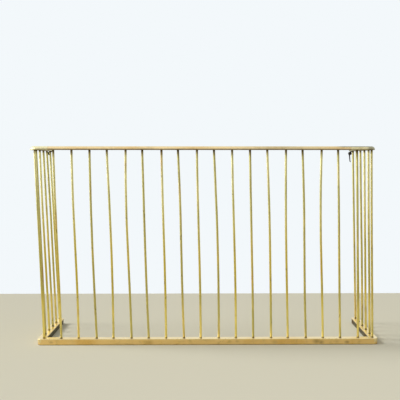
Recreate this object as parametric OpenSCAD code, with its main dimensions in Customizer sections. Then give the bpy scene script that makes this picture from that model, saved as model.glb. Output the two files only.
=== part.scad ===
/* [Guard] */
// Height from the floor to the crown of the top rail
guard_h = 707; // [560:1:900]
// Number of rods in the front row between the two corner rods
front_rods = 18; // [8:1:28]
// Number of rods in each return, behind the corner rod
side_rods = 5; // [3:1:7]
// Distance between neighbouring rods, centre to centre
rod_pitch = 62.5; // [50:0.5:80]
// Distance from the line of the left return's rods to the first front rod
left_bay = 71; // [55:0.5:85]
// Distance from the last front rod to the line of the right return's rods
right_bay = 57.5; // [50:0.5:80]
// How far the left corner rod stands in from the line of its return
left_set = 8; // [0:0.5:10]
// How far the right corner rod stands in from the line of its return
right_set = 3.5; // [0:0.5:10]
// How far both corner rods stand back from the line of the front rods
corner_back = 4.5; // [0:0.5:8]

/* [Rods] */
// Diameter of a rod
rod_d = 8; // [6:0.5:11]
// Diameter of the tenon at the foot of a rod
foot_tenon_d = 5.5; // [4:0.1:6]
// Diameter of the tenon at the head of a rod
head_tenon_d = 5; // [3.5:0.1:6]
// How far the head tenon reaches up into the rail's core
head_tenon_l = 6; // [4:0.5:7]
// Diameter of the foot tenon's hammered end below the ledge
peen_d = 9; // [7:0.5:12]
// Height of the foot tenon's hammered end
peen_h = 1.8; // [1:0.1:3]

/* [Base] */
// Height of the base from the floor to the top of its ledge
base_h = 22; // [16:0.5:32]
// Width of the ledge that the rods stand on, over its brass skin
ledge_w = 28; // [26:1:48]
// Thickness of the iron channel's walls
iron_t = 3; // [2:0.25:5]
// Thickness of the brass skin over the base
base_skin_t = 0.8; // [0.5:0.1:1.5]
// Depth that the skin is turned down over the ledge's inner edge
skin_lip_h = 4; // [2.5:0.5:8]
// Height of the skin's lower edge above the floor
skin_foot_gap = 0.5; // [0.2:0.1:2]
// Radius of the base's front corners in plan, outside
corner_r = 16; // [8:1:24]
// How far the base runs on behind the last rod of a return
base_past = 10; // [8:1:40]

/* [Top rail] */
// Width of the half-round rail
rail_w = 22; // [21:1:40]
// Thickness of the rail, flat side to crown
rail_h = 13; // [12:0.5:16]
// Radius of the rail's two lower edges
rail_edge_r = 2; // [1.5:0.25:4]
// Radius of the rail's inner edge where it turns a corner
rail_bend_r = 8; // [6:0.5:16]
// Thickness of the brass skin round the rail
rail_skin_t = 1; // [0.6:0.1:1.5]
// Width of each edge of that skin that is folded under the core
rail_lip_w = 4; // [3:0.5:6]
// How far the rail runs on behind the last rod of a return
rail_past = 22; // [22:1:40]
// Distance from the left return to the seam in the rail's skin
left_seam = 55; // [35:1:200]
// Distance from the right return to the seam in the rail's skin
right_seam = 79; // [35:1:200]

/* [Wall hooks] */
// Drop from the rail's underside to a hook's rivet
hook_pivot_drop = 9; // [8:0.5:14]
// Distance from the last rod to a hook's rivet
hook_back = 14.5; // [13:0.5:18]
// Radius of a hook's eye and of the lug's rounded end
eye_r = 6.5; // [5:0.25:7.5]
// Thickness of a hook's eye
eye_t = 5.6; // [4.5:0.1:7]
// Radius of a hook's arm below the eye
arm_root_r = 2.8; // [2:0.1:3.2]
// Radius of a hook's arm at the bend
arm_end_r = 2; // [1.4:0.1:2.6]
// Length of a hook's straight arm, from its rivet to the bend
arm_l = 27; // [22:1:50]
// Radius of the bend along the middle of the bar
bend_r = 5.5; // [4:0.5:9]
// Length of the straight tip past the bend
tip_l = 6; // [4:0.5:12]
// Radius of the tip's end
tip_end_r = 1.3; // [0.8:0.1:2]
// Sideways set of the arms, from years of use
hook_set = 5; // [0:0.5:7]
// How far the left hook is folded forward under the rail
left_fold = 76; // [0:1:78]
// Diameter of the rivet that a hook turns on
pivot_d = 4; // [3:0.1:5]
// Thickness of the iron lug
lug_t = 3; // [2:0.25:4]
// Length of the lug along the rail
lug_l = 15; // [13:0.5:18]
// Width of the lug's flange across the rail
lug_w = 13; // [11:0.5:15]
// Distance of the lug's outer face from the rail's middle line
lug_side = 6.5; // [5:0.25:7]
// Diameter of the two rivets that hold a lug
lug_rivet_d = 3.5; // [2.5:0.1:4]
// Distance between the two rivets that hold a lug
lug_rivet_gap = 8.4; // [7.5:0.1:9]
// How far those rivets reach up into the rail's core
lug_rivet_l = 5; // [4:0.5:7]
// Thickness of the washer between a lug and its hook
washer_t = 1; // [0.8:0.1:2]
// Diameter of that washer
washer_d = 10; // [8:0.5:13]

/* [Age] */
// How far the rail has racked sideways over the base, to the left
lean_side = 18.5; // [-25:0.5:25]
// How far the rail has come forward over the base
lean_forward = 20.5; // [-20:0.5:25]
// How much further each corner of the rail stands out than the base's
rail_spread = 2; // [0:0.5:6]
// How far all the front rods' heads stand to the right of their even places
head_shift = 1.5; // [-3:0.5:3]
// Angle that the left return of the base is bent inward
left_toe = 1.1; // [-4:0.1:4]
// Angle that the right return of the base is bent inward
right_toe = -1.2; // [-4:0.1:4]
// Most that a front rod's head stands off its even place
head_wander = 2.5; // [0:0.1:4]
// Most that a front rod's foot stands off its even place
foot_wander = 1.3; // [0:0.1:4]

/* [Fits] */
// Clearance between a skin, tenon or rivet and what it lies in
fit_gap = 0.05; // [0.02:0.01:0.1]
// Clearance under a rod's slanting shoulders
seat_gap = 0.2; // [0.1:0.05:0.4]
// Running clearance of a hook on its rivet
pivot_gap = 0.08; // [0.03:0.01:0.1]
// Side clearance of a hook between washer and rivet head
side_gap = 0.3; // [0.2:0.05:0.6]
// Gap at each seam of the rail's skin
seam_gap = 0.3; // [0.1:0.1:1]

/* [Hidden] */
$fn = 48;
BRASS = [0.80, 0.70, 0.40];
ROD_BRASS = [0.72, 0.64, 0.36];
IRON = [0.22, 0.20, 0.18];
LEFT = -1;
RIGHT = 1;
// Extra length of a cutting shape past the face that it opens
over = 1;

// The base, in plan: distances are outward from the line of the rods
half_ledge = ledge_w / 2;
iron_out = half_ledge - base_skin_t - fit_gap;
iron_in = -half_ledge + base_skin_t + fit_gap;
iron_r = corner_r - base_skin_t - fit_gap;
row_y = iron_out - iron_t / 2;
corner_x = (left_bay + (front_rods - 1) * rod_pitch + right_bay) / 2;
iron_top = base_h - base_skin_t - fit_gap;
return_l = side_rods * rod_pitch;
base_back_y = row_y + return_l + base_past;

// The rail: its own frame is shifted by the lean
rail_z = guard_h - rail_h;
rail_row_y = row_y - lean_forward;
rail_x = corner_x + rail_spread;
rail_r = rail_w / 2 + rail_bend_r;
rail_back_y = rail_row_y + return_l + rail_past;
core_inset = rail_skin_t + fit_gap;
core_z = rail_z + core_inset;

// The rail's half-round outline: two small edge arcs inside one dome arc
edge_x = rail_w / 2 - rail_edge_r;
dome_z = (pow(rail_h - rail_edge_r, 2) - edge_x * edge_x - pow(rail_edge_r, 2))
    / (2 * (rail_h - rail_edge_r) - 2 * rail_edge_r);
dome_r = rail_h - dome_z;

// Lengths of a rod's ends along its own axis
tenon_below = base_skin_t + fit_gap + iron_t;

// A hook, from its rivet
lug_top = core_z - fit_gap - (rail_z - hook_pivot_drop);
eye_face = -lug_side - fit_gap - washer_t - side_gap;
eye_mid = eye_face - eye_t / 2;

// A rivet's head, as shares of its shank's diameter, and the taper of a hammered end
head_r_share = 0.9;
head_h_share = 0.45;
head_taper = 0.6;
pivot_head_r = pivot_d * head_r_share;
pivot_head_h = pivot_d * head_h_share;
lug_head_r = lug_rivet_d * head_r_share;
lug_head_h = lug_rivet_d * head_h_share;

function toe(side) = side == LEFT ? left_toe : right_toe;
function set_in(side) = side == LEFT ? left_set : right_set;

// Where the front and return edges cross, at an outward distance d
function corner_at(side, d) =
    [side * (corner_x + d * (1 + sin(toe(side))) / cos(toe(side))), row_y - d];

// Where a return's edge at distance d reaches the line y = back
function rear_at(side, d, back) =
    let (t = toe(side), run = (back - row_y - d * sin(t)) / cos(t))
    [side * (corner_x + d * cos(t) - run * sin(t)), back];

function round_off(side, d, r) = corner_at(side, d - r) + r * [side * cos(toe(side)), sin(toe(side))];

// How far a front rod's ends stand off their even places: a wave that falls out of step
head_step = 200;
foot_step = 216;
first_step = 135;
function head_off(i) = head_shift + head_wander * sin(head_step * i + first_step);
function foot_off(i) = foot_wander * sin(foot_step * i + first_step);

function front_x(i) = -corner_x + left_bay + (i - 1) * rod_pitch;
function front_foot(i) = [front_x(i) + foot_off(i), row_y, base_h];
function corner_foot(side) = [side * (corner_x - set_in(side)), row_y + corner_back, base_h];
function side_foot(side, k) =
    [side * (corner_x - k * rod_pitch * sin(toe(side))), row_y + k * rod_pitch * cos(toe(side)), base_h];

// A point under the rail, given in the rail's own frame
function head_at(p) = [p[0] - lean_side, rail_row_y + p[1], core_z];
function front_head(i) = head_at([front_x(i) + head_off(i), 0]);
function corner_head(side) = head_at([side * (rail_x - set_in(side)), corner_back]);
function side_head(side, k) = head_at([side * rail_x, k * rod_pitch]);

// Each rod is its name, the middle of its foot and the middle of its head
RODS = concat(
    [["left_corner_rod", corner_foot(LEFT), corner_head(LEFT)]],
    [for (i = [1:front_rods]) [str("front_rod_", i), front_foot(i), front_head(i)]],
    [["right_corner_rod", corner_foot(RIGHT), corner_head(RIGHT)]],
    [for (k = [1:side_rods]) [str("left_rod_", k), side_foot(LEFT, k), side_head(LEFT, k)]],
    [for (k = [1:side_rods]) [str("right_rod_", k), side_foot(RIGHT, k), side_head(RIGHT, k)]]
);

// All that lies inside the base's outline at distance d, up to the line y = back, with round front corners
module base_plan(d, r, back) {
    polygon([
        rear_at(LEFT, d, back),
        round_off(LEFT, d, r),
        [corner_at(LEFT, d - r)[0], row_y - d],
        [corner_at(RIGHT, d - r)[0], row_y - d],
        round_off(RIGHT, d, r),
        rear_at(RIGHT, d, back)
    ]);
    for (side = [LEFT, RIGHT])
        translate(corner_at(side, d - r)) circle(r);
}

// The same, with mitred corners, for the base's inner side
module mitred_plan(d, back) {
    polygon([rear_at(LEFT, d, back), corner_at(LEFT, d), corner_at(RIGHT, d), rear_at(RIGHT, d, back)]);
}

// Puts its children at a rod's foot, with Z along the rod and X still facing right
module along_rod(rod) {
    v = rod[2] - rod[1];
    way = atan2(v[1], v[0]);
    translate(rod[1]) rotate([0, acos(v[2] / norm(v)), way]) rotate([0, 0, -way]) children();
}

module foot_holes() {
    for (rod = RODS)
        along_rod(rod) translate([0, 0, -base_h / 2]) cylinder(d = foot_tenon_d + 2 * fit_gap, h = base_h);
}

// The hollow of the iron channel, open below and at both rear ends
module channel_hollow() {
    difference() {
        translate([0, 0, -over]) linear_extrude(iron_top - iron_t + over)
            base_plan(iron_out - iron_t, iron_r - iron_t, base_back_y + over);
        translate([0, 0, -2 * over]) linear_extrude(base_h + 2 * over)
            mitred_plan(iron_in + iron_t, base_back_y + 2 * over);
    }
}

// Iron channel, bent round the two front corners, with the rods' holes in its top
module base_frame() {
    color(IRON) difference() {
        linear_extrude(iron_top) base_plan(iron_out, iron_r, base_back_y);
        translate([0, 0, -2 * over]) linear_extrude(base_h + 2 * over)
            mitred_plan(iron_in, base_back_y + 2 * over);
        channel_hollow();
        foot_holes();
    }
}

// Brass sheet over the base: skirt, ledge and a lip turned down at the ledge's inner edge
module base_skin() {
    color(BRASS) difference() {
        union() {
            difference() {
                translate([0, 0, skin_foot_gap]) linear_extrude(base_h - skin_foot_gap)
                    base_plan(half_ledge, corner_r, base_back_y);
                translate([0, 0, -over]) linear_extrude(base_h - base_skin_t + over)
                    base_plan(half_ledge - base_skin_t, corner_r - base_skin_t, base_back_y + over);
            }
            translate([0, 0, base_h - skin_lip_h]) linear_extrude(skin_lip_h - base_skin_t / 2)
                mitred_plan(-half_ledge + base_skin_t, base_back_y);
        }
        translate([0, 0, -over]) linear_extrude(base_h + 2 * over)
            mitred_plan(-half_ledge, base_back_y + over);
        foot_holes();
    }
}

// The half-round outline, drawn in by an even inset
module rail_outline(inset) {
    meet_z = dome_z + (dome_r - inset) * (rail_edge_r - dome_z) / (dome_r - rail_edge_r);
    intersection() {
        translate([0, dome_z]) circle(dome_r - inset);
        translate([-rail_w, meet_z]) square([2 * rail_w, rail_h]);
    }
    translate([-edge_x, inset]) square([2 * edge_x, meet_z - inset]);
    for (x = [-edge_x, edge_x])
        translate([x, rail_edge_r]) circle(rail_edge_r - inset);
}

module skin_outline() {
    difference() {
        rail_outline(0);
        rail_outline(rail_skin_t);
        translate([-rail_w / 2 + rail_lip_w, -over])
            square([rail_w - 2 * rail_lip_w, rail_skin_t + 2 * over]);
    }
}

// One straight of the front run, from x0 to x1 in the rail's own frame
module rail_front(x0, x1) {
    translate([x1, 0, 0]) rotate([90, 0, -90]) linear_extrude(x1 - x0) children();
}

// One corner and return of the rail
module rail_return(side) {
    run = rail_back_y - rail_row_y - rail_r;
    translate([side * rail_x, side == LEFT ? rail_r : rail_r + run, 0])
        rotate([90, 0, side == LEFT ? 180 : 0]) linear_extrude(run) children();
    translate([side * (rail_x - rail_r), rail_r, 0]) rotate([0, 0, side == LEFT ? 180 : 270])
        rotate_extrude(angle = 90) translate([rail_r, 0]) children();
}

module in_rail_frame() {
    translate([-lean_side, rail_row_y, rail_z]) children();
}

// Iron core of the rail, bored from below for the rods' heads and the lugs' rivets
module rail_core() {
    color(IRON) difference() {
        in_rail_frame() {
            rail_front(-rail_x + rail_r, rail_x - rail_r) rail_outline(core_inset);
            rail_return(LEFT) rail_outline(core_inset);
            rail_return(RIGHT) rail_outline(core_inset);
        }
        for (rod = RODS)
            along_rod(rod) translate([0, 0, norm(rod[2] - rod[1]) - over])
                cylinder(d = head_tenon_d + 2 * fit_gap, h = head_tenon_l + seat_gap + over);
        for (side = [LEFT, RIGHT])
            at_lug_rivets(side) translate([0, 0, lug_top - over])
                cylinder(d = lug_rivet_d + 2 * fit_gap, h = lug_rivet_l + over + 2 * fit_gap);
    }
}

module rail_skin_front() {
    color(BRASS) in_rail_frame()
        rail_front(-rail_x + left_seam + seam_gap / 2, rail_x - right_seam - seam_gap / 2) skin_outline();
}

module rail_skin_left() {
    color(BRASS) in_rail_frame() {
        rail_front(-rail_x + rail_r, -rail_x + left_seam - seam_gap / 2) skin_outline();
        rail_return(LEFT) skin_outline();
    }
}

module rail_skin_right() {
    color(BRASS) in_rail_frame() {
        rail_front(rail_x - right_seam + seam_gap / 2, rail_x - rail_r) skin_outline();
        rail_return(RIGHT) skin_outline();
    }
}

// A rod: tenon in the rail's core, shank, and a foot tenon hammered over below the ledge
module rod_piece(rod) {
    l = norm(rod[2] - rod[1]);
    color(ROD_BRASS) along_rod(rod) {
        translate([0, 0, seat_gap]) cylinder(d = rod_d, h = l - 2 * seat_gap);
        translate([0, 0, l - 2 * seat_gap]) cylinder(d = head_tenon_d, h = head_tenon_l + seat_gap);
        translate([0, 0, -tenon_below - seat_gap - peen_h / 2])
            cylinder(d = foot_tenon_d, h = tenon_below + 2 * seat_gap + peen_h / 2 + seat_gap);
        translate([0, 0, -tenon_below - seat_gap - peen_h])
            cylinder(d1 = peen_d * head_taper, d2 = peen_d, h = peen_h);
    }
}

// Puts its children on a hook's rivet, under the rear end of that side of the rail
module at_pivot(side) {
    p = head_at([side * rail_x, return_l + hook_back]);
    translate([p[0], p[1], rail_z - hook_pivot_drop]) children();
}

module at_lug_rivets(side) {
    for (y = [-lug_rivet_gap / 2, lug_rivet_gap / 2])
        at_pivot(side) translate([(lug_w + lug_t) / 2 - lug_side, y, 0]) children();
}

// A cylinder along X, from x0 towards +X
module bar_x(x0, r, h) {
    translate([x0, 0, 0]) rotate([0, 90, 0]) cylinder(r = r, h = h);
}

// Iron angle bracket: a flange under the rail's core and an ear that carries the hook
module lug(side) {
    color(IRON) difference() {
        at_pivot(side) {
            translate([-lug_side, -lug_l / 2, lug_top - lug_t]) cube([lug_w, lug_l, lug_t]);
            translate([-lug_side, -eye_r, 0]) cube([lug_t, 2 * eye_r, lug_top - lug_t / 2]);
            bar_x(-lug_side, eye_r, lug_t);
        }
        at_pivot(side) bar_x(-lug_side - over, pivot_d / 2 + fit_gap, lug_t + 2 * over);
        at_lug_rivets(side) cylinder(d = lug_rivet_d + 2 * fit_gap, h = lug_top + over);
    }
}

// The rivets that hold both lugs to the rail's core
module lug_rivets() {
    color(IRON) for (side = [LEFT, RIGHT])
        at_lug_rivets(side) {
            translate([0, 0, lug_top - lug_t - lug_head_h / 2])
                cylinder(d = lug_rivet_d, h = lug_t + lug_head_h / 2 + lug_rivet_l);
            translate([0, 0, lug_top - lug_t - fit_gap - lug_head_h])
                cylinder(r1 = lug_head_r * head_taper, r2 = lug_head_r, h = lug_head_h);
        }
}

module hook_washer(side) {
    color(IRON) at_pivot(side) difference() {
        bar_x(-lug_side - fit_gap - washer_t, washer_d / 2, washer_t);
        bar_x(-lug_side - fit_gap - washer_t - over, pivot_d / 2 + pivot_gap, washer_t + 2 * over);
    }
}

// The rivet that a hook turns on, headed at both ends
module hook_rivet(side) {
    left_end = eye_face - eye_t - side_gap;
    right_end = -lug_side + lug_t + fit_gap;
    color(IRON) at_pivot(side) {
        bar_x(left_end - pivot_head_h / 2, pivot_d / 2, right_end - left_end + pivot_head_h);
        translate([left_end, 0, 0]) rotate([0, -90, 0])
            cylinder(r1 = pivot_head_r, r2 = pivot_head_r * head_taper, h = pivot_head_h);
        translate([right_end, 0, 0]) rotate([0, 90, 0])
            cylinder(r1 = pivot_head_r, r2 = pivot_head_r * head_taper, h = pivot_head_h);
    }
}

// Forged hook as it hangs: an eye, a tapering arm and a tip bent forward
module hook_form() {
    difference() {
        union() {
            bar_x(eye_face - eye_t, eye_r, eye_t);
            translate([eye_mid, 0, 0]) rotate([0, 180 - hook_set, 0]) {
                cylinder(r1 = arm_root_r, r2 = arm_end_r, h = arm_l);
                translate([0, -bend_r, arm_l]) rotate([90, 0, 90])
                    rotate_extrude(angle = 90) translate([bend_r, 0]) circle(arm_end_r);
                translate([0, -bend_r, arm_l + bend_r]) rotate([90, 0, 0])
                    cylinder(r1 = arm_end_r, r2 = tip_end_r, h = tip_l);
            }
        }
        bar_x(eye_face - eye_t - over, pivot_d / 2 + pivot_gap, eye_t + 2 * over);
    }
}

module hook(side) {
    color(IRON) at_pivot(side) rotate([side == LEFT ? -left_fold : 0, 0, 0]) hook_form();
}

base_frame();
base_skin();
rail_core();
rail_skin_front();
rail_skin_left();
rail_skin_right();
for (rod = RODS)
    rod_piece(rod);
lug(LEFT);  // lug_left
lug(RIGHT);  // lug_right
lug_rivets();
hook_washer(LEFT);  // hook_washer_left
hook_washer(RIGHT);  // hook_washer_right
hook_rivet(LEFT);  // hook_rivet_left
hook_rivet(RIGHT);  // hook_rivet_right
hook(LEFT);  // hook_left
hook(RIGHT);  // hook_right
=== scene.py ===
import math

import bmesh
import bpy
from mathutils import Matrix, Vector, noise


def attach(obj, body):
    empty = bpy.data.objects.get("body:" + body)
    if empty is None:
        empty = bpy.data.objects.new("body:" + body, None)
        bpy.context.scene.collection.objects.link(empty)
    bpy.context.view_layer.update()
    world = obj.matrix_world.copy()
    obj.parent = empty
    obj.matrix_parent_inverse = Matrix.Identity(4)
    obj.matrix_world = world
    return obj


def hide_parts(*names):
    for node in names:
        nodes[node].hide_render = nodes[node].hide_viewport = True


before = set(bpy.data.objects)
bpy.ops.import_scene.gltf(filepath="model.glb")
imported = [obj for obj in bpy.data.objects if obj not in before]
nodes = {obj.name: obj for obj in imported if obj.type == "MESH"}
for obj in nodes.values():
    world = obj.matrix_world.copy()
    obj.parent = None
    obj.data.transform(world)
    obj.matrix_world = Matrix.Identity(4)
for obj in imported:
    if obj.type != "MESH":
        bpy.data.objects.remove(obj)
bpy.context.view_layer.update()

MM = 0.001
ROD_NODES = [name for name in nodes if name.endswith("corner_rod") or "_rod_" in name]

# Sizes that the whole guard shares, in millimetres
GUARD_H = 707.0
FRONT_RODS = 18
SIDE_RODS = 5
ROD_PITCH = 62.5
LEFT_BAY = 71.0
RIGHT_BAY = 57.5
LEAN_FORWARD = 20.5
LEAN_X = -18.5
FIT_GAP = 0.05
SIDE_GAP = 0.3
RETURN_L = SIDE_RODS * ROD_PITCH

# The base. Outward distances are measured from the line of the rods.
LEDGE_HALF = 14.0
LEDGE_Z = 22.0
LEDGE_EDGE_R = 1.8
CORNER_R = 16.0
SHEET = 0.8
IRON = 3.0
LIP_DROP = 4.0
LIP_R = 1.3
FOOT_GAP = 0.5
SKIRT_FOOT_Z = 6.0
BASE_PAST = 10.0
TOE = {-1: math.radians(1.1), 1: math.radians(-1.2)}
CORNER_X = (LEFT_BAY + (FRONT_RODS - 1) * ROD_PITCH + RIGHT_BAY) / 2
ROW_Y = LEDGE_HALF - SHEET - FIT_GAP - IRON / 2
BASE_BACK_Y = ROW_Y + RETURN_L + BASE_PAST

# The rail: brass skin over a half-round core
RAIL_H = 13.0
RAIL_HALF = 11.0
RAIL_EDGE_R = 2.0
RAIL_SHEET = 1.0
RAIL_LIP = 4.0
RAIL_INNER_BEND = 8.0
RAIL_SPREAD = 2.0
RAIL_PAST = 22.0
LEFT_SEAM = 55.0
RIGHT_SEAM = 79.0
SEAM_GAP = 0.3
RAIL_BEND = RAIL_HALF + RAIL_INNER_BEND
RAIL_X = CORNER_X + RAIL_SPREAD
RAIL_Z = GUARD_H - RAIL_H
RAIL_ROW_Y = ROW_Y - LEAN_FORWARD
RAIL_BACK_Y = RAIL_ROW_Y + RETURN_L + RAIL_PAST
CORE_Z = RAIL_Z + RAIL_SHEET + FIT_GAP

# The rods. PEEN_Z is the lowest point of a rod's hammered foot.
ROD_R = 4.0
FOOT_TENON_R = 2.75
HEAD_TENON_R = 2.5
HEAD_TENON_L = 5.8
PEEN_Z = 16.2

# The hooks and their lugs, about the rivet that each hook turns on
PIVOT_DROP = 9.0
PIVOT_BACK = 14.5
PIVOTS = {name: Vector((side * RAIL_X + LEAN_X, RAIL_ROW_Y + RETURN_L + PIVOT_BACK, RAIL_Z - PIVOT_DROP))
          for name, side in (("left", -1), ("right", 1))}
LUG_SIDE = 6.5
LUG_T = 3.0
LUG_L = 15.0
LUG_TOP = CORE_Z - FIT_GAP - RAIL_Z + PIVOT_DROP
WASHER_T = 1.0
EYE_R = 6.5
EYE_T = 5.6
EYE_HOLE_R = 2.15
EYE_FACE = -LUG_SIDE - FIT_GAP - WASHER_T - SIDE_GAP
ARM_L = 27.0
ARM_FROM = 4.0
ARM_ROOT_R = 2.8
ARM_END_R = 2.0
HOOK_BEND_R = 5.5
LEFT_FOLD = math.radians(-76)
HOOK_SET = math.radians(175)
RIVET_R = 2.0
RIVET_HEAD_R = 3.6
RIVET_HEAD_H = 1.8
LUG_RIVET_R = 1.75
LUG_RIVET_HEAD_R = 3.15
LUG_RIVET_HEAD_H = 1.57
LUG_RIVET_GAP = 8.4
LUG_RIVET_L = 4.9


# Shader maths

class Tone:
    """A node's output, which varies over a surface. Arithmetic on numbers adds Math nodes."""

    def __init__(self, finish, socket):
        self.finish = finish
        self.socket = socket

    def maths(self, operation, a, b=0.0, clamp=False):
        settings = {"operation": operation, "use_clamp": clamp}
        return self.finish.node("ShaderNodeMath", settings, {0: a, 1: b})

    def __add__(self, other):
        return self.maths("ADD", self, other)

    def __radd__(self, other):
        return self.maths("ADD", other, self)

    def __sub__(self, other):
        return self.maths("SUBTRACT", self, other)

    def __rsub__(self, other):
        return self.maths("SUBTRACT", other, self)

    def __mul__(self, other):
        return self.maths("MULTIPLY", self, other)

    def __rmul__(self, other):
        return self.maths("MULTIPLY", other, self)

    def clipped(self):
        return self.maths("ADD", self, 0.0, clamp=True)

    def most(self, other):
        return self.maths("MAXIMUM", self, other)


class Finish:
    """A material for one finish of the guard or the stage, or the room's light, built node by node."""

    def __init__(self, name, kept_in=bpy.data.materials):
        self.holder = kept_in.new(name)
        self.holder.use_nodes = True
        self.tree = self.holder.node_tree
        self.tree.nodes.clear()

    def node(self, kind, settings=None, inputs=None, output=0):
        """Adds a node. settings are set first; inputs hold a value or a Tone for each socket."""
        made = self.tree.nodes.new(kind)
        for key, value in (settings or {}).items():
            setattr(made, key, value)
        for key, value in (inputs or {}).items():
            if isinstance(value, Tone):
                self.tree.links.new(value.socket, made.inputs[key])
            else:
                made.inputs[key].default_value = value
        return Tone(self, made.outputs[output]) if made.outputs else None

    def place(self):
        """The point on the piece, in metres, in the guard's own frame."""
        return self.node("ShaderNodeTexCoord", output="Object")

    def cloud(self, vector, scale, detail=4.0, rough=0.55):
        """Soft noise from 0 to 1, with about scale clouds to the metre."""
        return self.node("ShaderNodeTexNoise", None,
                         {"Vector": vector, "Scale": scale, "Detail": detail, "Roughness": rough})

    def grain(self, vector, scales, detail=4.0, rough=0.55, shift=(0.0, 0.0, 0.0)):
        """Noise with its own scale along X, Y and Z; shift sets it apart from other noise."""
        stretched = self.node("ShaderNodeVectorMath", {"operation": "MULTIPLY_ADD"},
                              {0: vector, 1: scales, 2: shift})
        return self.cloud(stretched, 1.0, detail, rough)

    def band(self, value, low, high):
        """0 at low, 1 at high and smooth between; low may be the larger."""
        return self.node("ShaderNodeMapRange", {"interpolation_type": "SMOOTHSTEP"},
                         {"Value": value, "From Min": low, "From Max": high})

    def blend(self, share, a, b):
        """Colour a where share is 0 and colour b where it is 1."""
        return self.node("ShaderNodeMix", {"data_type": "RGBA"}, {0: share, 6: a, 7: b}, output=2)

    def part(self, vector, axis):
        """A vector's X, Y or Z, for axis 0, 1 or 2."""
        return self.node("ShaderNodeSeparateXYZ", None, {0: vector}, output=axis)

    def along(self, name):
        """A number that the mesh carries at each point."""
        return self.node("ShaderNodeAttribute", {"attribute_name": name}, None, output="Fac")

    def bump(self, height, depth):
        """The normal of a surface that rises by depth, in metres, where height is 1."""
        return self.node("ShaderNodeBump", None, {"Height": height, "Distance": depth, "Strength": 1.0})

    def metal(self, colour, rough, normal, metallic=1.0):
        """Ends the material in its shader."""
        shader = self.node("ShaderNodeBsdfPrincipled", None,
                           {"Base Color": colour, "Roughness": rough, "Metallic": metallic,
                            "Normal": normal})
        self.node("ShaderNodeOutputMaterial", None, {"Surface": shader})
        return self.holder


def rgb(r, g, b):
    """A colour given as the eye reads it, 0 to 255, for a shader."""
    def linear(v):
        v = v / 255.0
        return v / 12.92 if v <= 0.04045 else ((v + 0.055) / 1.055) ** 2.4
    return (linear(r), linear(g), linear(b), 1.0)


# Sheet brass, where it is bright and where it is dull
BASE_BRIGHT = rgb(248, 214, 144)
BASE_DULL = rgb(236, 192, 104)
RAIL_FRONT_BRIGHT = rgb(240, 216, 164)
RAIL_FRONT_DULL = rgb(222, 188, 128)
# The left length is paler as painted light from the window on that corner
RAIL_LEFT_BRIGHT = rgb(240, 231, 184)
RAIL_LEFT_DULL = rgb(230, 218, 162)
# Also the colour of the painted highlight on the sheets
PALE_BRASS = rgb(246, 234, 186)
RAIL_RIGHT_DULL = rgb(220, 206, 146)

# Rod brass with painted reflection at head and foot, tarnish, stains and painted shade, iron, and the stage
GOLD_BRASS = rgb(242, 206, 134)
OLIVE_BRASS = rgb(186, 180, 108)
DULL_BRASS = rgb(170, 150, 92)
# Head and foot colours: brass paled and brightened by painted reflection
HEAD_BRASS_PAINTED_SHEEN = rgb(242, 234, 168)
SHANK_BRASS = rgb(222, 200, 90)
FOOT_BRASS_PAINTED_SHEEN = rgb(254, 234, 134)
# Brown for real stains and soil, and also painted as shade
BROWN_STAIN_AND_SHADE = rgb(92, 70, 38)
RED_STAIN = rgb(190, 132, 84)
GREY_FILM = rgb(158, 156, 130)
POLISH_DARK = rgb(66, 58, 34)
POLISH_PALE = rgb(116, 108, 68)
DARK_IRON = rgb(62, 55, 46)
OLIVE_IRON = rgb(112, 104, 74)
BLACK_IRON = rgb(40, 37, 38)
GREY_IRON = rgb(66, 62, 60)
RUST = rgb(92, 64, 40)
FLOOR_COLOUR = rgb(214, 210, 190)
BACKDROP_COLOUR = rgb(243, 248, 251)
ROOM_COLOUR = rgb(186, 187, 190)
ROOM_LIGHT = rgb(150, 151, 153)


def rod_finish():
    """Drawn brass with olive tarnish and stains. A rod is paler at its head and brighter at its foot as
    painted reflection, darker at its foot, and darker under the rail as painted shade.
    """
    f = Finish("rod_brass")
    here = f.place()
    tone = f.along("tone")
    grime_and_shade = f.along("grime_and_shade")
    height = f.part(here, 2)
    patches = f.band(f.grain(here, (9.0, 9.0, 5.0), 3.0) + tone * 0.2, 0.50, 0.72)
    mottle = f.grain(here, (60.0, 60.0, 16.0), 5.0)
    spots = f.band(f.grain(here, (95.0, 95.0, 38.0), 4.0, 0.6, (3.1, 0.0, 7.0)), 0.62, 0.72)
    stains = f.band(f.grain(here, (26.0, 26.0, 6.0), 3.0, 0.5, (8.0, 2.0, 0.0)), 0.60, 0.74)
    drawn = f.grain(here, (900.0, 900.0, 22.0), 2.0)
    # Paler towards the head and brighter at the foot: painted reflection, not the brass's own colour
    shank = f.band(height, 0.62, 0.26)
    colour = f.blend(shank, HEAD_BRASS_PAINTED_SHEEN, SHANK_BRASS)
    foot = f.band(height, 0.20, 0.09)
    colour = f.blend(foot, colour, FOOT_BRASS_PAINTED_SHEEN)
    colour = f.blend(tone * 0.3, colour, GOLD_BRASS)
    colour = f.blend(patches * 0.7, colour, OLIVE_BRASS)
    colour = f.blend(f.band(mottle, 0.48, 0.80) * 0.5, colour, DULL_BRASS)
    colour = f.blend(stains * 0.5, colour, RED_STAIN)
    # Brown in spots, and where the rod darkens: at its foot, and under the rail as painted shade
    colour = f.blend((spots * 0.6).most(grime_and_shade * 0.85), colour, BROWN_STAIN_AND_SHADE)
    rough = (0.24 + 0.12 * patches + 0.12 * mottle + 0.14 * stains + 0.2 * spots + 0.3 * grime_and_shade).clipped()
    normal = f.bump(drawn * 0.5 + mottle * 0.6 + spots * 0.4, 0.00006)
    return f.metal(colour, rough, normal)


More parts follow.
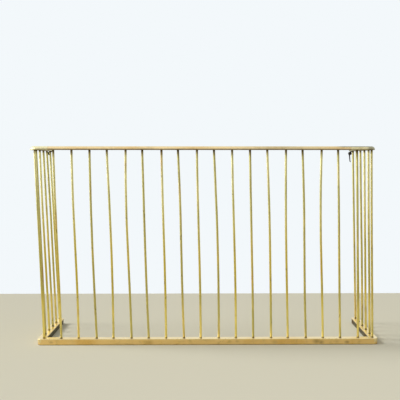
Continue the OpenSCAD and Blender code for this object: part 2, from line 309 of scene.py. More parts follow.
def sheet_finish(name, bright, dull, rough_from, patch_from):
    """Thin brass sheet, dull in patches, brightened by painted highlight and darkened by painted shade and
    soil, as its mesh says.
    rough_from is its roughness where it is clean, and dull patches are rarer where patch_from is larger."""
    f = Finish(name)
    here = f.place()
    sheen = f.along("sheen")
    dirt_and_shade = f.along("dirt_and_shade")
    film = f.along("film")
    patches = f.band(f.cloud(here, 5.5, 4.0, 0.6), patch_from, patch_from + 0.24)
    mottle = f.cloud(here, 42.0, 5.0, 0.6)
    streaks = f.band(f.grain(here, (16.0, 16.0, 90.0), 4.0, 0.6, (5.0, 1.0, 0.0)), 0.54, 0.70)
    specks = f.band(f.cloud(here, 260.0, 3.0), 0.66, 0.74)
    rubbed = f.grain(here, (14.0, 14.0, 620.0), 3.0)
    colour = f.blend(patches * 0.75, bright, dull)
    colour = f.blend(f.band(mottle, 0.52, 0.80) * 0.35, colour, DULL_BRASS)
    colour = f.blend(streaks * 0.18, colour, BROWN_STAIN_AND_SHADE)
    colour = f.blend(film, colour, GREY_FILM)
    # Painted highlight, paler where the mesh's sheen is high
    colour = f.blend(sheen * 0.75, colour, PALE_BRASS)
    # Brown where the mesh marks painted shade and soil, and in specks
    colour = f.blend((dirt_and_shade * (0.5 + mottle)).most(specks * 0.4).clipped(), colour, BROWN_STAIN_AND_SHADE)
    rough = (rough_from + 0.12 * patches + 0.12 * mottle + 0.12 * film - 0.06 * sheen + 0.25 * dirt_and_shade).clipped()
    normal = f.bump(rubbed * 0.6 + mottle * 1.2 - specks * 0.5, 0.00005)
    return f.metal(colour, rough, normal)


def iron_finish(name, bare, film, rough_from, depth):
    """Bare iron under an uneven film, with rust in patches, and pitted to a depth in metres."""
    f = Finish(name)
    here = f.place()
    scale = f.cloud(here, 70.0, 6.0, 0.65)
    pits = f.band(f.cloud(here, 340.0, 4.0, 0.6), 0.58, 0.72)
    rust = f.band(f.cloud(here, 16.0, 5.0, 0.6), 0.52, 0.70)
    colour = f.blend(f.band(scale, 0.35, 0.65), bare, film)
    colour = f.blend(rust * 0.7, colour, RUST)
    rough = (rough_from + 0.2 * scale + 0.2 * rust + 0.1 * pits).clipped()
    return f.metal(colour, rough, f.bump(scale - pits * 0.4, depth), metallic=0.8)


def crust_and_shade_finish():
    """Old polish and verdigris, dried where a rod meets the ledge or the rail, and dark there as painted
    shade as well.
    """
    f = Finish("polish_and_shade_crust")
    here = f.place()
    grain = f.cloud(here, 420.0, 4.0)
    colour = f.blend(f.band(grain, 0.35, 0.7), POLISH_DARK, POLISH_PALE)
    return f.metal(colour, (0.7 + 0.2 * grain).clipped(), f.bump(grain, 0.0002), metallic=0.0)


# Mesh helpers

def in_scene(name, data):
    """A new object for a mesh, camera or lamp."""
    made = bpy.data.objects.new(name, data)
    bpy.context.scene.collection.objects.link(made)
    return made


def piece_from(name, points, faces, material, attributes=None):
    """A mesh piece that stands still. Points are in millimetres; attributes hold one number a point."""
    mesh = bpy.data.meshes.new(name)
    mesh.from_pydata([Vector(p) * MM for p in points], [], faces)
    for key, values in (attributes or {}).items():
        layer = mesh.attributes.new(key, "FLOAT", "POINT")
        layer.data.foreach_set("value", values)
    work = bmesh.new()
    work.from_mesh(mesh)
    bmesh.ops.remove_doubles(work, verts=work.verts, dist=1e-6)
    bmesh.ops.recalc_face_normals(work, faces=work.faces)
    work.to_mesh(mesh)
    work.free()
    mesh.shade_smooth()
    mesh.set_sharp_from_angle(angle=math.radians(50))
    mesh.materials.append(material)
    piece = in_scene(name, mesh)
    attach(piece, "root")
    return piece


def tube_faces(ring_count, around):
    """Quads between rings of points that close on themselves, with a flat cap on each end."""
    faces = []
    for i in range(ring_count - 1):
        for j in range(around):
            k = (j + 1) % around
            faces.append((i * around + j, i * around + k, (i + 1) * around + k, (i + 1) * around + j))
    faces.append(tuple(range(around)))
    faces.append(tuple(reversed(range((ring_count - 1) * around, ring_count * around))))
    return faces


def swept_sheet(rings, sheet_count):
    """Faces of a closed sheet. Each ring goes round the sheet's section: its first sheet_count points are the
    outer side, and the rest are the inner side, coming back. Both ends are closed by strips."""
    count = len(rings[0])
    points = [p for ring in rings for p in ring]
    faces = tube_faces(len(rings), count)[:-2]
    for start in (0, (len(rings) - 1) * count):
        for j in range(sheet_count - 1):
            faces.append((start + j, start + j + 1, start + count - 2 - j, start + count - 1 - j))
    return points, faces


def spaced(low, high, steps):
    """Numbers at even steps from low to high, both among them."""
    return [low + (high - low) * i / steps for i in range(steps + 1)]


def arc(cx, cz, r, from_deg, to_deg, steps):
    angles = [math.radians(degrees) for degrees in spaced(from_deg, to_deg, steps)]
    return [(cx + r * math.cos(a), cz + r * math.sin(a)) for a in angles]


def line(a, b, steps):
    return list(zip(spaced(a[0], b[0], steps), spaced(a[1], b[1], steps)))


def without_repeats(points):
    """The same outline without the second of two points in one place."""
    kept = [points[0]]
    for p in points[1:]:
        if math.dist(p, kept[-1]) > 1e-6:
            kept.append(p)
    return kept


def ripple(x, y, z, size):
    """A smooth random height from -1 to 1, with hollows about size millimetres apart."""
    return noise.noise(Vector((x, y, z)) / size)


def clamp(value, low=0.0, high=1.0):
    return max(low, min(high, value))


# The base's brass sheet

def corner_at(side, d):
    """Where the front's line and a return's line cross, both at outward distance d."""
    toe = TOE[side]
    return Vector((side * (CORNER_X + d * (1 + math.sin(toe)) / math.cos(toe)), ROW_Y - d, 0.0))


def return_out(side):
    """The way out of a return."""
    toe = TOE[side]
    return Vector((side * math.cos(toe), math.sin(toe), 0.0))


def rear_at(side, d):
    """Where a return's line at outward distance d meets the rear end."""
    toe = TOE[side]
    run = (BASE_BACK_Y - ROW_Y - d * math.sin(toe)) / math.cos(toe)
    return Vector((side * (CORNER_X + d * math.cos(toe) - run * math.sin(toe)), BASE_BACK_Y, 0.0))


class BaseStation:
    """One cross-section of the base: where each outward distance lies, and which way is out."""

    def __init__(self, kind, side, share):
        self.kind = kind
        self.side = side
        self.share = share

    def out(self):
        if self.kind == "front":
            return Vector((0.0, -1.0, 0.0))
        if self.kind == "return":
            return return_out(self.side)
        return Vector((0.0, -1.0, 0.0)).slerp(return_out(self.side), self.share)

    def point(self, d):
        """The point at outward distance d. Past centre_d, the corner's centre, the lines bend round it."""
        centre_d = LEDGE_HALF - CORNER_R
        inner = min(d, centre_d)
        past = max(d - centre_d, 0.0)
        if self.kind == "front":
            return corner_at(-1, inner).lerp(corner_at(1, inner), self.share) + self.out() * past
        if self.kind == "return":
            near = corner_at(self.side, inner) + self.out() * past
            return near.lerp(rear_at(self.side, d), self.share)
        return corner_at(self.side, inner) + self.out() * past


def base_stations(step=4.0, corner_steps=12):
    """Cross-sections from the left return's rear end, along the front, to the right one's rear end."""
    runs = round(2 * CORNER_X / step)
    back = round((BASE_BACK_Y - ROW_Y) / step)
    found = [BaseStation("return", -1, 1 - i / back) for i in range(back + 1)]
    found += [BaseStation("corner", -1, 1 - i / corner_steps) for i in range(1, corner_steps)]
    found += [BaseStation("front", 0, i / runs) for i in range(runs + 1)]
    found += [BaseStation("corner", 1, i / corner_steps) for i in range(1, corner_steps)]
    found += [BaseStation("return", 1, i / back) for i in range(back + 1)]
    return found


def base_section(inset):
    """The sheet's section as (outward distance, height): lip, ledge and skirt, drawn in by inset."""
    inner, outer, top = -LEDGE_HALF + inset, LEDGE_HALF - inset, LEDGE_Z - inset
    lip_r = max(LIP_R - inset, 0.4)
    edge_r = max(LEDGE_EDGE_R - inset, 0.6)
    points = line((inner, LEDGE_Z - LIP_DROP), (inner, top - lip_r), 2)
    points += arc(inner + lip_r, top - lip_r, lip_r, 180, 90, 4)
    points += line((inner + lip_r, top), (outer - edge_r, top), 10)
    points += arc(outer - edge_r, top - edge_r, edge_r, 90, 0, 5)
    points += line((outer, top - edge_r), (outer, SKIRT_FOOT_Z), 6)
    points += line((outer, SKIRT_FOOT_Z), (outer, FOOT_GAP), 7)
    return without_repeats(points)


# Knocks in the skirt: x along the front, height, how wide and how deep
SKIRT_KNOCKS = [
    (-560.0, 10.0, 9.0, 0.3), (-208.0, 8.0, 16.0, 0.25), (105.0, 13.0, 9.0, 0.25), (238.0, 9.0, 12.0, 0.2),
    (388.0, 12.0, 16.0, 0.5), (404.0, 8.0, 12.0, 0.5), (460.0, 12.0, 12.0, 0.15), (497.0, 9.0, 10.0, 0.55),
]


def skirt_push(point, z):
    """How far the skirt is pushed in at a point, in millimetres."""
    broad = 0.24 * ripple(point.x, point.y, z * 3, 46)
    fine = 0.12 * ripple(point.x, point.y + 90, z, 13)
    push = 0.22 + broad + fine
    for x, height, width, depth in SKIRT_KNOCKS:
        away = math.hypot(point.x - x, (z - height) * 1.5) / width
        if point.y < 0 and away < 1:
            push += depth * (1 - away * away) ** 2
    return max(push, 0.0)


def skirt_shade_and_smudges(point, z):
    """How dark the skirt is: painted shade along its foot all round, and smudges at the right."""
    foot = 0.9 * clamp(1.2 - (z - FOOT_GAP) / 1.8)
    smudge = 0.0
    if point.y < 0:
        for x, height, width, depth in SKIRT_KNOCKS:
            smudge = max(smudge, depth * clamp(1.1 - math.hypot(point.x - x, (z - height) * 1.4) / width))
    return max(foot, smudge)


def sheet_sheen(station, d, z):
    """How bright the sheet is painted: a painted highlight along the ledge's outer edge and on the corners,
    and painted light over the ledge.
    """
    edge = clamp(1 - abs(LEDGE_Z - 0.6 - z) / 1.6) if d > LEDGE_HALF - 3 else 0.0
    corner = 0.8 * clamp((z - SKIRT_FOOT_Z) / 6) if station.kind == "corner" and d > 0 else 0.0
    on_ledge = z > LEDGE_Z - 0.2 or (d < LEDGE_HALF - 2 and z > LEDGE_Z - 3)
    return max(edge, corner, 0.6 if on_ledge else 0.0)


def sheet_lift(at, z, skirt):
    """How far the sheet stands above its drawn height: a wavy foot, and a ledge that dips between."""
    if z < FOOT_GAP + 0.1:
        return 0.15 + 0.15 * ripple(at.x, at.y, 500.0, 70)
    return 0.1 * (ripple(at.x, at.y, 300.0, 60) - 1) * (1 - skirt)


def base_sheet(material):
    """The sheet over the channel. Nothing moves back past the base's rear end."""
    outer = base_section(0.0)
    inner = base_section(SHEET)
    rings, sheen, dirt_and_shade = [], [], []
    for station in base_stations():
        ring = []
        for d, z in outer + inner[::-1]:
            at = station.point(d)
            skirt = clamp((LEDGE_Z - z) / 5) if d > 0 else 0.0
            moved = at - station.out() * skirt * skirt_push(at, z)
            ring.append((moved.x, min(moved.y, BASE_BACK_Y), z + sheet_lift(at, z, skirt)))
            # Painted highlight on the ledge's edge, the corners and the ledge top
            sheen.append(sheet_sheen(station, d, z))
            # Painted shade along the skirt's foot, and smudges at the right
            dirt_and_shade.append(skirt_shade_and_smudges(at, z) if d > 0 and z < LEDGE_Z - 2 else 0.0)
        rings.append(ring)
    points, faces = swept_sheet(rings, len(outer))
    film = [0.0] * len(points)
    piece = piece_from("base_sheet", points, faces, material,
                       attributes={"sheen": sheen, "dirt_and_shade": dirt_and_shade, "film": film})
    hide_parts("base_skin")


# The rail's brass skin

class RailStation:
    """One cross-section of the rail: the middle of its underside, and which way is out."""

    def __init__(self, at, out):
        self.at = at
        self.out = out


def rail_front_stations(x0, x1, step):
    """Cross-sections along the front, from x0 to x1."""
    count = max(1, round((x1 - x0) / step))
    out = Vector((0.0, -1.0, 0.0))
    return [RailStation(Vector((x, RAIL_ROW_Y, RAIL_Z)), out) for x in spaced(x0, x1, count)]


def rail_return_stations(side, step):
    """Cross-sections of one side's corner and return, from the front to the rear end."""
    corner_x = side * RAIL_X + LEAN_X
    turns = 16
    hub = Vector((corner_x - side * RAIL_BEND, RAIL_ROW_Y + RAIL_BEND, RAIL_Z))
    found = []
    for i in range(1, turns + 1):
        a = math.radians(90 * i / turns)
        out = Vector((side * math.sin(a), -math.cos(a), 0.0))
        found.append(RailStation(hub + out * RAIL_BEND, out))
    run = RAIL_BACK_Y - hub.y
    count = round(run / step)
    out = Vector((float(side), 0.0, 0.0))
    for i in range(1, count + 1):
        found.append(RailStation(Vector((corner_x, hub.y + run * i / count, RAIL_Z)), out))
    return found


def rail_section(inset):
    """The half-round as (across, up) from the middle of its underside, drawn in by inset."""
    edge_x = RAIL_HALF - RAIL_EDGE_R
    rise = RAIL_H - RAIL_EDGE_R
    dome_z = (rise ** 2 - edge_x ** 2 - RAIL_EDGE_R ** 2) / (2 * rise - 2 * RAIL_EDGE_R)
    dome_r = RAIL_H - dome_z
    meet = math.degrees(math.atan2(RAIL_EDGE_R - dome_z, edge_x))
    r = RAIL_EDGE_R - inset
    lip = RAIL_HALF - RAIL_LIP
    points = line((-lip, inset), (-edge_x, inset), 1)
    points += arc(-edge_x, RAIL_EDGE_R, r, 270, 180 - meet, 6)
    points += arc(0.0, dome_z, dome_r - inset, 180 - meet, meet, 20)
    points += arc(edge_x, RAIL_EDGE_R, r, meet, -90, 6)
    points += line((edge_x, inset), (lip, inset), 1)
    return without_repeats(points)


# Where the rail is grey, where it is soiled, and where its line of painted shade changes: a place along X,
# and the length over which that comes or goes
GREY_MIDDLE = (255, 190)
GREY_CROWN = (440, 30)
GREY_CORNER = (550, 16)
DARK_CROWN = (490, 20)
THIN_LINE_X = -560
FAINT_LINE_X = 500


def right_of(x, place):
    """0 to the left of a place on the rail, and rising to 1 over its length to the right."""
    return clamp((x - place[0]) / place[1])


def rail_film(at, up, out):
    """How grey the rail is: in its middle stretch, and over the crown and corner at the right."""
    middle = 0.35 * clamp(1 - abs(at.x - GREY_MIDDLE[0]) / GREY_MIDDLE[1]) if out.y < -0.5 else 0.0
    crown = 0.85 * clamp((up / RAIL_H - 0.62) * 5) * right_of(at.x, GREY_CROWN)
    corner = 0.8 * right_of(at.x, GREY_CORNER)
    return max(middle, crown, corner)


def rail_soil_and_shade(at, up):
    """How dark the rail is: soiled on the crown at the right, and a line of painted shade along both lower
    edges, which is thinner at the left and fainter at the right."""
    crown = 0.35 * clamp((up / RAIL_H - 0.8) * 6) * right_of(at.x, DARK_CROWN)
    line_h = 2.6 if at.x > THIN_LINE_X else 1.6
    depth = 1.2 if at.x < FAINT_LINE_X else 0.75
    return max(depth * clamp(1.2 - up / line_h), crown)


def rail_skin(name, stations, material, node):
    """One length of the rail's brass, with hollows sunk into its dome."""
    outer = rail_section(0.0)
    inner = rail_section(RAIL_SHEET)
    rings, sheen, dirt_and_shade, film = [], [], [], []
    for station in stations:
        ring = []
        for across, up in outer + inner[::-1]:
            at = station.at + station.out * across
            dome = clamp(up / RAIL_H)
            broad = 0.18 * ripple(at.x, at.y, up * 2, 34)
            fine = 0.08 * ripple(at.x, at.y, 40 + up, 11)
            sink = 0.10 + broad + fine
            away = station.out * (across / RAIL_HALF) + Vector((0.0, 0.0, dome))
            ring.append(tuple(at + Vector((0.0, 0.0, up)) - away * max(0.05, sink) * dome))
            grey = rail_film(at, up, station.out)
            # The crown is paler as painted highlight, except where it is grey
            sheen.append(clamp(dome * 1.3 - 0.85) * (1 - grey))
            # A line of painted shade along the lower edges, and soil on the crown at the right
            dirt_and_shade.append(rail_soil_and_shade(at, up))
            film.append(grey)
        rings.append(ring)
    points, faces = swept_sheet(rings, len(outer))
    piece = piece_from(name, points, faces, material,
                       attributes={"sheen": sheen, "dirt_and_shade": dirt_and_shade, "film": film})
    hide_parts(node)


def rail_skins(left_brass, front_brass, right_brass):
    """The three lengths of brass, which meet at a seam near each front corner."""
    left_corner = -RAIL_X + LEAN_X
    right_corner = RAIL_X + LEAN_X
    gap = SEAM_GAP / 2
    step = 5.0
    front = rail_front_stations(left_corner + LEFT_SEAM + gap, right_corner - RIGHT_SEAM - gap, step)
    rail_skin("rail_brass_front", front, front_brass, "rail_skin_front")
    left = rail_front_stations(left_corner + RAIL_BEND, left_corner + LEFT_SEAM - gap, step)[::-1]
    left += rail_return_stations(-1, step)
    rail_skin("rail_brass_left", left, left_brass, "rail_skin_left")
    right = rail_front_stations(right_corner - RIGHT_SEAM + gap, right_corner - RAIL_BEND, step)
    right += rail_return_stations(1, step)
    rail_skin("rail_brass_right", right, right_brass, "rail_skin_right")


# Rods

# How far a rod is bent out of line, in millimetres to the right: at its middle, then the swing of its
# lower half against its upper half
FRONT_BOWS = [
    (-0.8, 0.4), (-0.1, 1.2), (-3.0, 0.2), (3.6, 0.3), (-3.6, 1.4), (-1.6, -0.3),
    (1.0, 0.6), (0.7, -1.2), (0.8, 0.7), (4.5, 0.1), (1.5, 0.7), (0.5, 0.3),
    (3.1, -0.4), (-2.5, 0.4), (0.8, -1.3), (-4.5, 1.3), (0.1, -0.5), (0.7, -0.3),
]
BOWS = {f"front_rod_{number}": bow for number, bow in enumerate(FRONT_BOWS, 1)}
BOWS |= {
    "left_corner_rod": (0.6, 0.3), "right_corner_rod": (-0.5, 0.4),
    "left_rod_2": (-0.8, 0.5), "left_rod_4": (1.0, -0.4),
    "right_rod_1": (-0.6, 0.3), "right_rod_3": (0.9, 0.4),
}

# The hammered foot below the channel as (height above its lowest point, radius), and a shank's shoulder
# as (distance from its end, radius)
PEEN = [(0.0, 1.6), (0.15, 2.9), (0.6, 3.9), (1.2, 4.4), (1.75, 4.5), (1.8, FOOT_TENON_R)]
SHOULDER = [(0.0, 3.6), (0.25, 3.9), (0.7, ROD_R)]


def ring_centre(points):
    """The middle of a round end, from the box of its points."""
    return Vector([(min(p[i] for p in points) + max(p[i] for p in points)) / 2 for i in range(3)])


def rod_line(node):
    """A rod's straight line from the ledge to the rail's core, from the two ends of its node."""
    points = [v.co / MM for v in nodes[node].data.vertices]
    low = min(p.z for p in points)
    high = max(p.z for p in points)
    foot = ring_centre([p for p in points if p.z < low + 0.5])
    head = ring_centre([p for p in points if p.z > high - 0.5])
    way = (head - foot) / (head.z - foot.z)
    return foot + way * (LEDGE_Z - foot.z), foot + way * (CORE_Z - foot.z)


def rod_profile():
    """Height and radius up a rod: its hammered foot, tenon, shank, and the tenon in the rail."""
    foot = [(PEEN_Z + rise, r) for rise, r in PEEN] + [(LEDGE_Z - 0.05, FOOT_TENON_R)]
    foot += [(LEDGE_Z + rise, r) for rise, r in SHOULDER]
    heights = spaced(LEDGE_Z + 3, LEDGE_Z + 9, 2)
    heights += spaced(LEDGE_Z + 18, CORE_Z - 30, 56)
    heights += spaced(CORE_Z - 24, CORE_Z - 4, 4)
    shank = [(z, ROD_R) for z in heights]
    head = [(CORE_Z - drop, r) for drop, r in reversed(SHOULDER)]
    return foot + shank + head + [(CORE_Z, HEAD_TENON_R), (CORE_Z + HEAD_TENON_L, HEAD_TENON_R)]


def brass_rod(node, material, number):
    """A drawn rod with its bow, worn a little out of round. It darkens at its foot, and under the rail as
    painted shade.
    """
    foot, head = rod_line(node)
    way = (head - foot) / (head.z - foot.z)
    bow, swing = BOWS.get(node, (0.0, 0.0))
    foot_dark_reach = 6
    head_shade_reach = 24 if node.startswith("front") else 11
    seed = 37.0 * number
    around = 20
    points, grime_and_shade = [], []
    for z, r in rod_profile():
        share = clamp((z - LEDGE_Z) / (CORE_Z - LEDGE_Z))
        free = clamp(min(z - LEDGE_Z, CORE_Z - z) / 40)
        centre = foot + way * (z - foot.z)
        centre.x += bow * math.sin(math.pi * share) + swing * math.sin(2 * math.pi * share)
        centre.x += 0.25 * free * ripple(seed, z, 0.0, 85)
        centre.y += 0.5 * free * ripple(seed, z, 50.0, 120)
        for i in range(around):
            a = 2 * math.pi * i / around
            worn_r = r - abs(0.06 * free * ripple(seed + 5 * math.cos(a), 5 * math.sin(a), z, 16))
            points.append((centre.x + worn_r * math.cos(a), centre.y + worn_r * math.sin(a), z))
            uneven = 1 + 0.7 * ripple(seed, 9 * math.cos(a), 9 * math.sin(a), 6)
            # Darker near the foot, and painted shade reaching down from the rail; the part hidden below the
            # ledge is darkened too
            at_foot = 1 - (z - LEDGE_Z) / (foot_dark_reach * uneven)
            at_head = 1.2 - (CORE_Z - z) / (head_shade_reach * uneven)
            grime_and_shade.append(clamp(max(at_foot, at_head)) if z > LEDGE_Z - 1 else 0.6)
    tone = [0.5 + 0.5 * math.sin(2.4 * number)] * len(points)
    piece = piece_from(node + "_drawn", points, tube_faces(len(points) // around, around), material,
                       attributes={"tone": tone, "grime_and_shade": grime_and_shade})
    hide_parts(node)
    return foot, head


def crust_and_shade_rings(name, material, rods):
    """A thin uneven ring of dried polish round each rod, on the ledge and under the rail, which also stands
    as painted shade there.
    """
    points, faces = [], []
    steps = 20
    section = [(0.0, 0.9), (0.32, 0.55), (0.72, 0.22), (1.27, 0.02), (0.0, 0.02)]
    count = len(section)
    for foot, head in rods:
        way = (head - foot) / (head.z - foot.z)
        for level, up in ((LEDGE_Z, 1), (CORE_Z - 0.01, -1)):
            centre = foot + way * (level - foot.z)
            start = len(points)
            for i in range(steps):
                a = 2 * math.pi * i / steps
                spread = 1 + 0.5 * ripple(centre.x + 9 * math.cos(a), centre.y + 9 * math.sin(a), level, 7)
                heap = 1 + 0.6 * ripple(centre.x, centre.y + 7 * math.cos(a), 7 * math.sin(a) + level, 5)
                for reach, rise in section:
                    r = ROD_R + 0.03 + reach * spread
                    tall = up * rise * heap
                    points.append((centre.x + r * math.cos(a) + way.x * tall,
                                   centre.y + r * math.sin(a) + way.y * tall, level + tall))
            for i in range(steps):
                for j in range(count):
                    k = (j + 1) % count
                    quad = (i * count + j, i * count + k, (i + 1) * count + k, (i + 1) * count + j)
                    faces.append(tuple(start + n % (steps * count) for n in quad))
    piece = piece_from(name, points, faces, material)


# Hooks, lugs and rivets

def shell_along(path, radii, flats, around=20):
    """A closed tube along a path of points. flats is the share of its width kept along X at each point."""
    side = Vector((1.0, 0.0, 0.0))
    points = []
    for i, (at, r, flat) in enumerate(zip(path, radii, flats)):
        ahead = path[min(i + 1, len(path) - 1)] - path[max(i - 1, 0)]
        other = ahead.normalized().cross(side).normalized()
        for j in range(around):
            a = 2 * math.pi * j / around
            points.append(at + side * (r * flat * math.cos(a)) + other * (r * math.sin(a)))
    return points, tube_faces(len(path), around)


def turned_on_x(profile, at, around=28):
    """A closed turned shell on a line along X through a point, from (distance along X, radius) pairs."""
    points = [at + Vector((x, r * math.cos(2 * math.pi * j / around), r * math.sin(2 * math.pi * j / around)))
              for x, r in profile for j in range(around)]
    return points, tube_faces(len(profile), around)


def joined(shells):
    """Several shells as one list of points and one of faces."""
    points, faces = [], []
    for shell_points, shell_faces in shells:
        start = len(points)
        points += shell_points
        faces += [tuple(n + start for n in face) for face in shell_faces]
    return points, faces


def forged(name, shells, material, body, node, voxel=0.45, hammer=0.12):
    """Shells melted into one body, softened, and marked by the hammer, in place of a node of the frame."""
    points, faces = joined(shells)
    rough = bpy.data.meshes.new(name + "_rough")
    rough.from_pydata([Vector(p) * MM for p in points], [], faces)
    work = bmesh.new()
    work.from_mesh(rough)
    bmesh.ops.recalc_face_normals(work, faces=work.faces)
    work.to_mesh(rough)
    work.free()
    billet = in_scene(name + "_rough", rough)
    melt = billet.modifiers.new("melt", "REMESH")
    melt.mode = "VOXEL"
    melt.voxel_size = voxel * MM
    soften = billet.modifiers.new("soften", "SMOOTH")
    soften.factor = 0.5
    soften.iterations = 4
    made = bpy.data.meshes.new_from_object(billet.evaluated_get(bpy.context.evaluated_depsgraph_get()))
    bpy.data.objects.remove(billet)
    made.name = name
    for vertex in made.vertices:
        at = vertex.co / MM
        dent = hammer * (ripple(at.x, at.y, at.z, 5.5) - 0.4) + 0.4 * hammer * ripple(at.x, at.y, at.z, 2.0)
        vertex.co += vertex.normal * (min(dent, 0.0) * MM)
    made.shade_smooth()
    made.materials.clear()
    made.materials.append(material)
    piece = in_scene(name, made)
    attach(piece, body)
    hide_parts(node)


# The hook's tip as (distance past the bend, radius), and half of its eye's outline as (distance in from
# the face, how far it falls short of EYE_R)
TIP = [(2.0, 1.77), (4.0, 1.53), (5.4, 1.35), (5.85, 1.0), (6.0, 0.5)]
EYE_EDGE = [(0.0, 0.9), (0.35, 0.3), (1.0, 0.0)]


def eye_shell():
    """A ring about the rivet, with its edges worn round and its hole's edges eased."""
    low, high = EYE_FACE - EYE_T, EYE_FACE
    profile = [(low + x, EYE_R - short) for x, short in EYE_EDGE]
    profile += [(high - x, EYE_R - short) for x, short in reversed(EYE_EDGE)]
    profile += [(high, EYE_HOLE_R + 0.5), (high - 0.4, EYE_HOLE_R)]
    profile += [(low + 0.4, EYE_HOLE_R), (low, EYE_HOLE_R + 0.5)]
    points, faces = turned_on_x(profile + profile[:1], Vector((0, 0, 0)), 36)
    return points, faces[:-2]


def arm_shell():
    """A tapering arm out of the eye, with its tip bent square to it."""
    straight = [Vector((0, 0, z)) for z in spaced(ARM_FROM, ARM_L, 16)]
    bend = [Vector((0, y - HOOK_BEND_R, ARM_L + z)) for y, z in arc(0, 0, HOOK_BEND_R, 0, 90, 10)[1:]]
    tip = [Vector((0, -HOOK_BEND_R - past, ARM_L + HOOK_BEND_R)) for past, _ in TIP]
    radii = [ARM_ROOT_R - (ARM_ROOT_R - ARM_END_R) * p.z / ARM_L for p in straight]
    radii += [ARM_END_R] * len(bend) + [r for _, r in TIP]
    path = straight + bend + tip
    flats = [0.9 + 0.1 * clamp((p.z - ARM_FROM) / 10) for p in path]
    points, faces = shell_along(path, radii, flats)
    turn = Matrix.Rotation(HOOK_SET, 3, "Y")
    middle = Vector((EYE_FACE - EYE_T / 2, 0, 0))
    return [turn @ p + middle for p in points], faces


def iron_hook(side, material):
    """A hook in its place at rest: the right one hangs, and the left one is folded forward."""
    turn = Matrix.Rotation(LEFT_FOLD, 3, "X") if side == "left" else Matrix.Identity(3)
    parts = (eye_shell(), arm_shell())
    shells = [([turn @ p + PIVOTS[side] for p in points], faces) for points, faces in parts]
    forged("forged_hook_" + side, shells, material, side + "_hook", "hook_" + side)


def plate(low, high, rounded=False):
    """A plate between two corners. rounded gives it a round lower end about the rivet."""
    if rounded:
        outline = [(high[1], high[2]), (low[1], high[2])] + arc(0, 0, EYE_R, 180, 360, 24)
    else:
        outline = [(low[1], low[2]), (high[1], low[2]), (high[1], high[2]), (low[1], high[2])]
    points = [Vector((x, y, z)) for x in (low[0], high[0]) for y, z in outline]
    return points, tube_faces(2, len(outline))


def iron_lug(side, material):
    """The bracket: a flange against the rail's core and an ear for the rivet."""
    flange = plate((-LUG_SIDE, -LUG_L / 2, LUG_TOP - LUG_T), (LUG_SIDE, LUG_L / 2, LUG_TOP))
    ear = plate((-LUG_SIDE, -EYE_R, 0), (LUG_T - LUG_SIDE, EYE_R, LUG_TOP - LUG_T / 2), rounded=True)
    shells = [([p + PIVOTS[side] for p in points], faces) for points, faces in (flange, ear)]
    forged("iron_lug_" + side, shells, material, "root", "lug_" + side, voxel=0.4, hammer=0.05)


def hammered_head(base, tip, r):
    """Half of a domed head as (distance, radius) pairs, from its tip to its base."""
    angles = [math.radians(degrees) for degrees in spaced(6, 90, 6)]
    return [(base + (tip - base) * math.cos(a), r * math.sin(a)) for a in angles]


def hook_rivet(side, material):
    """The rivet through a lug's ear, the washer and the hook's eye, with a head at each end."""
    left_end = EYE_FACE - EYE_T - SIDE_GAP
    right_end = LUG_T - LUG_SIDE + FIT_GAP
    profile = hammered_head(left_end, left_end - RIVET_HEAD_H, RIVET_HEAD_R)
    profile += [(left_end + 0.02, RIVET_R), (right_end - 0.02, RIVET_R)]
    profile += hammered_head(right_end, right_end + RIVET_HEAD_H, RIVET_HEAD_R)[::-1]
    points, faces = turned_on_x(profile, PIVOTS[side])
    piece = piece_from("rivet_" + side, points, faces, material)
    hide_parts("hook_rivet_" + side)


def lug_rivets(material):
    """The four rivets up through the lugs' flanges, turned on X and then stood on end."""
    under = LUG_TOP - LUG_T - FIT_GAP
    profile = hammered_head(under, under - LUG_RIVET_HEAD_H, LUG_RIVET_HEAD_R)
    profile += [(under + 0.02, LUG_RIVET_R), (LUG_TOP + LUG_RIVET_L, LUG_RIVET_R)]
    shells = []
    for pivot in PIVOTS.values():
        for y in (-LUG_RIVET_GAP / 2, LUG_RIVET_GAP / 2):
            points, faces = turned_on_x(profile, Vector((0, 0, 0)), 24)
            centre = pivot + Vector((LUG_T / 2, y, 0))
            shells.append(([centre + Vector((p.z, p.y, p.x)) for p in points], faces))
    points, faces = joined(shells)
    piece = piece_from("lug_rivet_heads", points, faces, material)
    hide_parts("lug_rivets")


# Camera, floor and light

# The view: the picture's width and the focal length in its pixels, the film's width and the camera's place
# in millimetres, and how far the camera looks down and to the right in degrees
PICTURE_WIDTH = 400.0
FOCAL_LENGTH = 708.13
FILM_WIDTH = 36.0
CAMERA_AT = Vector((-54.1, -2496.8, 657.6))
LOOK_DOWN = 3.203
LOOK_RIGHT = 0.583

# The stage, in metres
FLOOR_REACH = 12.0
FLOOR_EDGE_Y = 0.976

WINDOW_COLOUR = (1.0, 0.99, 0.97)
OVERHEAD_COLOUR = (1.0, 0.98, 0.95)


def photo_camera():
    """The photograph's own view."""
    data = bpy.data.cameras.new("photo_camera")
    data.sensor_width = FILM_WIDTH
    data.lens = FOCAL_LENGTH / PICTURE_WIDTH * FILM_WIDTH
    camera = in_scene("photo_camera", data)
    camera.location = CAMERA_AT * MM
    camera.rotation_euler = (math.radians(90.0 - LOOK_DOWN), 0.0, math.radians(-LOOK_RIGHT))
    bpy.context.scene.camera = camera


def seen_by_eye_or_metal(f):
    """1 for what the camera sees and what the metal mirrors, 0 for the light that falls on things."""
    path = "ShaderNodeLightPath"
    return (f.node(path, output="Is Camera Ray") + f.node(path, output="Is Glossy Ray")).clipped()


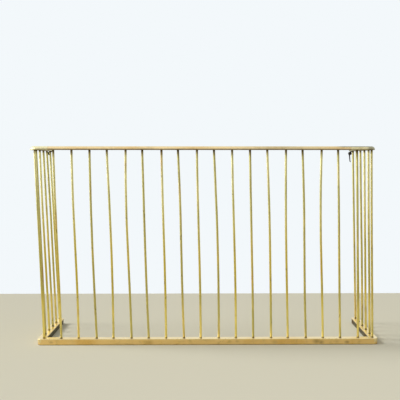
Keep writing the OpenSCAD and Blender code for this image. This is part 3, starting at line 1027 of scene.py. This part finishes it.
def floor_finish():
    """A pale floor that takes shadows, and past its far edge an even white like the backdrop's."""
    f = Finish("pale_floor")
    white = f.band(f.part(f.place(), 1), FLOOR_EDGE_Y, FLOOR_EDGE_Y + 0.001)
    matt = f.node("ShaderNodeBsdfDiffuse", None, {"Color": FLOOR_COLOUR})
    lit = f.node("ShaderNodeEmission", None, {"Color": BACKDROP_COLOUR, "Strength": 1.0})
    mixed = f.node("ShaderNodeMixShader", None, {0: seen_by_eye_or_metal(f) * white, 1: matt, 2: lit})
    f.node("ShaderNodeOutputMaterial", None, {"Surface": mixed})
    return f.holder


def floor():
    mesh = bpy.data.meshes.new("floor")
    corners = [(x * FLOOR_REACH, y * FLOOR_REACH, 0) for x, y in ((-1, -1), (1, -1), (1, 1), (-1, 1))]
    mesh.from_pydata(corners, [], [(0, 1, 2, 3)])
    mesh.materials.append(floor_finish())
    in_scene("floor", mesh)


def room():
    """Even light all round, dimmer on matt surfaces. Eye and metal see a white wall behind the guard."""
    f = Finish("room", bpy.data.worlds)
    behind = f.band(f.part(f.node("ShaderNodeTexCoord", output="Generated"), 1), -0.05, 0.12)
    seen = seen_by_eye_or_metal(f)
    colour = f.blend(seen, ROOM_LIGHT, ROOM_COLOUR)
    colour = f.blend(behind * seen, colour, BACKDROP_COLOUR)
    light = f.node("ShaderNodeBackground", None, {"Color": colour, "Strength": 1.0})
    f.node("ShaderNodeOutputWorld", None, {"Surface": light})
    bpy.context.scene.world = f.holder


def lamp(name, kind, at, toward, settings, on_metal=True, on_matt=True):
    """A lamp, which metal may mirror and matt surfaces may be lit by."""
    data = bpy.data.lights.new(name, kind)
    for key, value in settings.items():
        setattr(data, key, value)
    made = in_scene(name, data)
    made.location = at
    made.rotation_euler = (Vector(toward) - Vector(at)).to_track_quat("-Z", "Y").to_euler()
    made.visible_glossy = on_metal
    made.visible_diffuse = on_matt


def lights():
    """A tall window's soft light from the left, and a broad one overhead. Metal mirrors the window low and
    wide. On matt surfaces it comes from higher up and is narrower, so that shadows stay short and soft."""
    lamp("window", "SUN", (-2.7, 0.1, 0.9), (0.0, 0.0, 0.0),
         {"energy": 2.3, "angle": math.radians(56), "color": WINDOW_COLOUR}, on_matt=False)
    lamp("window_on_matt", "SUN", (-2.2, 0.1, 1.75), (0.0, 0.0, 0.0),
         {"energy": 2.5, "angle": math.radians(22), "color": WINDOW_COLOUR}, on_metal=False)
    lamp("overhead", "AREA", (-0.3, -0.9, 3.0), (0.0, 0.0, 0.2),
         {"shape": "RECTANGLE", "size": 4.4, "size_y": 2.0, "energy": 20.0, "color": OVERHEAD_COLOUR})


def dress(node, material):
    """Gives a node of the frame its material."""
    mesh = nodes[node].data
    mesh.materials.clear()
    mesh.materials.append(material)


def build():
    """Every piece of the guard, with its finish."""
    rod_brass = rod_finish()
    base_brass = sheet_finish("base_brass", BASE_BRIGHT, BASE_DULL, 0.26, 0.44)
    rail_front = sheet_finish("rail_brass_front", RAIL_FRONT_BRIGHT, RAIL_FRONT_DULL, 0.42, 0.46)
    rail_left = sheet_finish("rail_brass_left", RAIL_LEFT_BRIGHT, RAIL_LEFT_DULL, 0.44, 0.46)
    rail_right = sheet_finish("rail_brass_right", PALE_BRASS, RAIL_RIGHT_DULL, 0.30, 0.40)
    bare_iron = iron_finish("browned_iron", DARK_IRON, OLIVE_IRON, 0.45, 0.0003)
    hook_iron = iron_finish("forged_iron", BLACK_IRON, GREY_IRON, 0.42, 0.0002)
    for node in nodes:
        dress(node, bare_iron if node in ("base_frame", "rail_core") else hook_iron)
    base_sheet(base_brass)
    rail_skins(rail_left, rail_front, rail_right)
    rods = [brass_rod(node, rod_brass, number) for number, node in enumerate(ROD_NODES)]
    crust_and_shade_rings("polish_and_shade_rings", crust_and_shade_finish(), rods)
    for side in PIVOTS:
        iron_hook(side, hook_iron)
        iron_lug(side, hook_iron)
        hook_rivet(side, hook_iron)
    lug_rivets(hook_iron)


build()
photo_camera()
floor()
room()
lights()
bpy.context.scene.view_settings.view_transform = "Standard"
